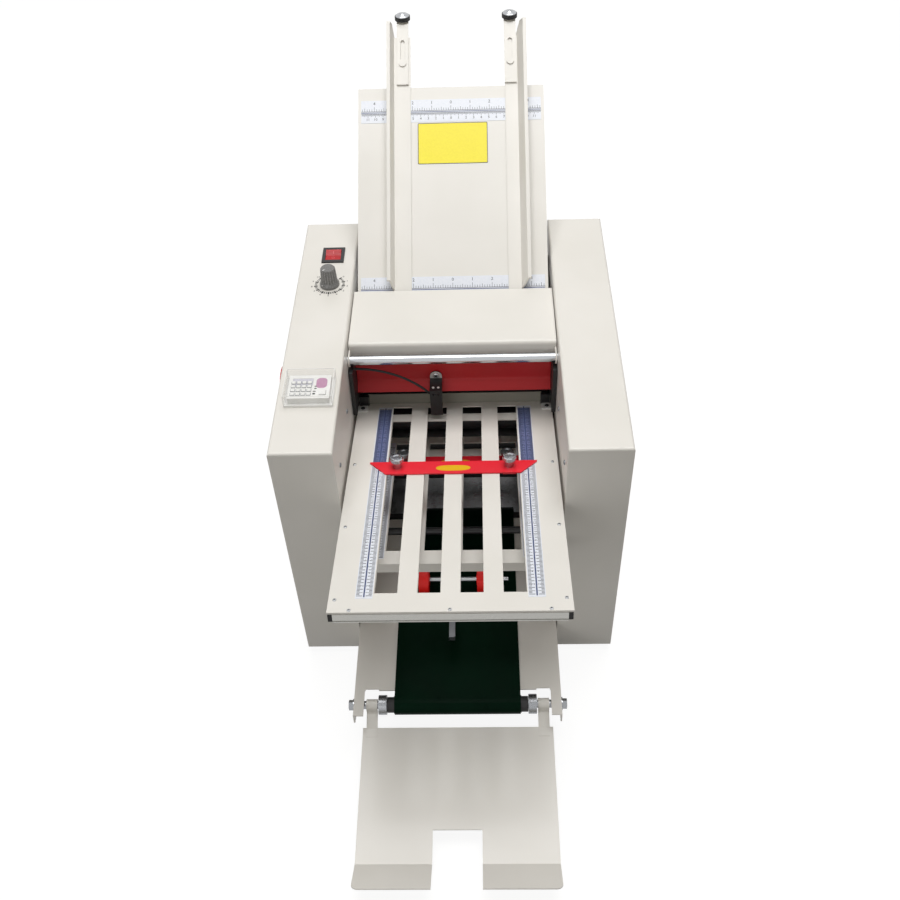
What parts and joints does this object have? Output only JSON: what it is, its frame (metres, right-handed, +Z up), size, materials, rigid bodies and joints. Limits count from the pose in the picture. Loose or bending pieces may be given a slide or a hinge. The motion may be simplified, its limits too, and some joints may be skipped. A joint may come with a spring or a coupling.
{
  "type": "paper folding machine",
  "caption": "Desktop paper folding machine with sloping feed table, slotted front and rear fold plates, geared fold rollers, red stop bars, belt conveyor and receiving tray",
  "frame": {"origin": "on the floor under the centre of the overall box", "axes": "+X to the right seen by the operator, +Y from the receiving tray back to the feed table, +Z up"},
  "size_m": [0.425, 0.9571, 0.5922],
  "materials": {
    "paint": "warm off-white stove enamel, fine texture",
    "rubber_black": "matt black rubber",
    "frame_black": "black oxide plate",
    "steel": "bare bright steel",
    "zinc": "zinc plated",
    "chrome": "polished chrome plating",
    "guard_red": "dark red enamel",
    "stop_red": "bright red enamel",
    "ruler": "printed white film",
    "belt_green": "smooth glossy dark green belting",
    "red_plastic": "glossy red moulding",
    "black_plastic": "satin black moulding",
    "grey_plastic": "satin grey moulding",
    "white_plastic": "white moulding",
    "clear": "clear moulded lid",
    "pad": "brown friction rubber",
    "motor_grey": "grey painted motor case"
  },
  "bodies": {
    "machine": {"base_pan": "steel", "rubber_feet": "rubber_black", "left_side_frame": "frame_black", "right_side_frame": "frame_black", "left_housing": "paint", "right_housing": "paint", "tie_rods": "frame_black", "roller_bearings": "zinc", "chrome_rod": "chrome", "red_guard": "guard_red", "feed_table": "paint", "feed_chute": "steel", "separator_pad": "pad", "motor": "motor_grey", "drive_belts": "rubber_black", "upper_fold_plate": "paint", "upper_plate_base": "zinc", "lower_fold_plate": "paint", "rear_fold_plates": "paint", "plate_rulers": "ruler", "paper_mouth": "paint", "photo_sensor": "black_plastic", "sensor_cable": "rubber_black", "conveyor_frame": "paint", "conveyor_belt": "belt_green", "conveyor_shaft": "zinc", "pusher_bar": "zinc", "switch_bezel": "black_plastic", "counter_body": "white_plastic", "power_inlet": "black_plastic"},
    "cover": {"top_cover": "paint"},
    "rocker_body": {"rocker": "red_plastic"},
    "knob": {"speed_knob": "grey_plastic"},
    "lid": {"counter_lid": "clear"},
    "key": {"reset_key": "red_plastic"},
    "roller_1": {"fold_roller_1": "rubber_black", "hand_wheel": "red_plastic"},
    "roller_2": {"fold_roller_2": "rubber_black"},
    "roller_3": {"fold_roller_3": "rubber_black"},
    "roller_4": {"fold_roller_4": "rubber_black"},
    "roller_5": {"fold_roller_5": "rubber_black"},
    "roller_6": {"fold_roller_6": "rubber_black"},
    "feeder": {"feed_roller": "rubber_black"},
    "idler": {"idler_gear": "zinc"},
    "belt_roller_front": {"conveyor_front_roller": "rubber_black"},
    "belt_roller_rear": {"conveyor_rear_roller": "rubber_black"},
    "motor_drive": {"motor_pulley": "zinc"},
    "pusher": {"pusher_frame": "zinc"},
    "wheels": {"pusher_wheels": "red_plastic"},
    "tray": {"receiving_tray": "paint"},
    "upper_stop": {"upper_stop_bar": "stop_red"},
    "screw_left": {"upper_stop_screw_left": "chrome"},
    "screw_right": {"upper_stop_screw_right": "chrome"},
    "lower_stop_body": {"lower_stop_bar": "stop_red"},
    "rear_stop_a": {"rear_upper_stop": "stop_red"},
    "rear_stop_b": {"rear_lower_stop": "stop_red"},
    "guide_l": {"left_guide": "paint"},
    "guide_r": {"right_guide": "paint"},
    "ext_l": {"left_extension": "paint"},
    "ext_r": {"right_extension": "paint"}
  },
  "joints": [
    {"name": "main_drive_spin", "type": "hinge", "parent": "machine", "child": "roller_1", "pos_m": [0.0125, 0.09079, 0.26918], "axis": [1, 0, 0], "continuous": true},
    {"name": "fold_roller_2_spin", "type": "hinge", "parent": "machine", "child": "roller_2", "pos_m": [0.0125, 0.10183, 0.23882], "axis": [1, 0, 0], "continuous": true},
    {"name": "fold_roller_3_spin", "type": "hinge", "parent": "machine", "child": "roller_3", "pos_m": [0.0125, 0.08973, 0.20888], "axis": [1, 0, 0], "continuous": true},
    {"name": "fold_roller_4_spin", "type": "hinge", "parent": "machine", "child": "roller_4", "pos_m": [0.0125, 0.08274, 0.17734], "axis": [1, 0, 0], "continuous": true},
    {"name": "fold_roller_5_spin", "type": "hinge", "parent": "machine", "child": "roller_5", "pos_m": [0.0125, 0.07064, 0.14739], "axis": [1, 0, 0], "continuous": true},
    {"name": "fold_roller_6_spin", "type": "hinge", "parent": "machine", "child": "roller_6", "pos_m": [0.0125, 0.08429, 0.11812], "axis": [1, 0, 0], "continuous": true},
    {"name": "feed_roller_spin", "type": "hinge", "parent": "machine", "child": "feeder", "pos_m": [0.0125, 0.11786, 0.34667], "axis": [1, 0, 0], "continuous": true},
    {"name": "idler_spin", "type": "hinge", "parent": "machine", "child": "idler", "pos_m": [0.0125, 0.09363, 0.31166], "axis": [1, 0, 0], "continuous": true},
    {"name": "belt_front_roller_spin", "type": "hinge", "parent": "machine", "child": "belt_roller_front", "pos_m": [0.0125, -0.25469, 0.052], "axis": [1, 0, 0], "continuous": true},
    {"name": "belt_rear_roller_spin", "type": "hinge", "parent": "machine", "child": "belt_roller_rear", "pos_m": [0.0125, 0.04931, 0.052], "axis": [1, 0, 0], "continuous": true},
    {"name": "motor_pulley_spin", "type": "hinge", "parent": "machine", "child": "motor_drive", "pos_m": [0.0125, 0.20331, 0.078], "axis": [1, 0, 0], "continuous": true},
    {"name": "pusher_slide", "type": "slide", "parent": "machine", "child": "pusher", "axis": [0, 1, 0], "range_m": [-0.085, 0.045]},
    {"name": "pusher_wheel_spin", "type": "hinge", "parent": "pusher", "child": "wheels", "pos_m": [0.0125, -0.08769, 0.0843], "axis": [1, 0, 0], "continuous": true},
    {"name": "cover_hinge", "type": "hinge", "parent": "machine", "child": "cover", "pos_m": [0.0125, 0.04431, 0.3515], "axis": [1, 0, 0], "range_deg": [0, 95]},
    {"name": "tray_hinge", "type": "hinge", "parent": "machine", "child": "tray", "pos_m": [0.0125, -0.25469, 0.052], "axis": [-1, 0, 0], "range_deg": [0, 75]},
    {"name": "upper_stop_slide", "type": "slide", "parent": "machine", "child": "upper_stop", "axis": [0, 0.9833, -0.1822], "range_m": [-0.185, 0.095]},
    {"name": "upper_screw_left_turn", "type": "hinge", "parent": "upper_stop", "child": "screw_left", "pos_m": [-0.05425, -0.07214, 0.2818], "axis": [0, 0.1822, 0.9833], "range_deg": [0, 360]},
    {"name": "upper_screw_right_turn", "type": "hinge", "parent": "upper_stop", "child": "screw_right", "pos_m": [0.07925, -0.07214, 0.2818], "axis": [0, 0.1822, 0.9833], "range_deg": [0, 360]},
    {"name": "lower_stop_slide", "type": "slide", "parent": "machine", "child": "lower_stop_body", "axis": [0, 0.9763, -0.2164], "range_m": [-0.148, 0.012]},
    {"name": "rear_upper_stop_slide", "type": "slide", "parent": "machine", "child": "rear_stop_a", "axis": [0, 0.9272, -0.3746], "range_m": [-0.085, 0.05]},
    {"name": "rear_lower_stop_slide", "type": "slide", "parent": "machine", "child": "rear_stop_b", "axis": [0, 0.9272, -0.3746], "range_m": [-0.085, 0.05]},
    {"name": "left_guide_slide", "type": "slide", "parent": "machine", "child": "guide_l", "axis": [1, 0, 0], "range_m": [-0.034, 0.045]},
    {"name": "right_guide_slide", "type": "slide", "parent": "machine", "child": "guide_r", "axis": [1, 0, 0], "range_m": [-0.045, 0.023]},
    {"name": "left_extension_slide", "type": "slide", "parent": "guide_l", "child": "ext_l", "axis": [0, 0.809, 0.5878], "range_m": [-0.015, 0]},
    {"name": "right_extension_slide", "type": "slide", "parent": "guide_r", "child": "ext_r", "axis": [0, 0.809, 0.5878], "range_m": [-0.015, 0]},
    {"name": "rocker_tilt", "type": "hinge", "parent": "machine", "child": "rocker_body", "pos_m": [-0.1453, 0.22281, 0.375], "axis": [1, 0, 0], "range_deg": [-16, 0]},
    {"name": "speed_knob_turn", "type": "hinge", "parent": "machine", "child": "knob", "pos_m": [-0.1448, 0.16031, 0.38], "axis": [0, 0, 1], "range_deg": [-90, 180]},
    {"name": "counter_lid_hinge", "type": "hinge", "parent": "machine", "child": "lid", "pos_m": [-0.149, -0.01949, 0.3839], "axis": [-1, 0, 0], "range_deg": [0, 100]},
    {"name": "reset_key_press", "type": "slide", "parent": "machine", "child": "key", "axis": [0, 0, -1], "range_m": [0, 0.0015], "stiffness_N_per_m": 300}
  ],
  "couplings": [
    {"joint": "fold_roller_2_spin", "follows": "main_drive_spin", "ratio": -1},
    {"joint": "fold_roller_3_spin", "follows": "main_drive_spin", "ratio": 1},
    {"joint": "fold_roller_4_spin", "follows": "main_drive_spin", "ratio": -1},
    {"joint": "fold_roller_5_spin", "follows": "main_drive_spin", "ratio": 1},
    {"joint": "fold_roller_6_spin", "follows": "main_drive_spin", "ratio": -1},
    {"joint": "feed_roller_spin", "follows": "main_drive_spin", "ratio": 1},
    {"joint": "idler_spin", "follows": "main_drive_spin", "ratio": -0.61111},
    {"joint": "belt_front_roller_spin", "follows": "main_drive_spin", "ratio": -1},
    {"joint": "belt_rear_roller_spin", "follows": "main_drive_spin", "ratio": -1},
    {"joint": "motor_pulley_spin", "follows": "main_drive_spin", "ratio": -2.5},
    {"joint": "pusher_wheel_spin", "follows": "main_drive_spin", "ratio": 0.6}
  ]
}
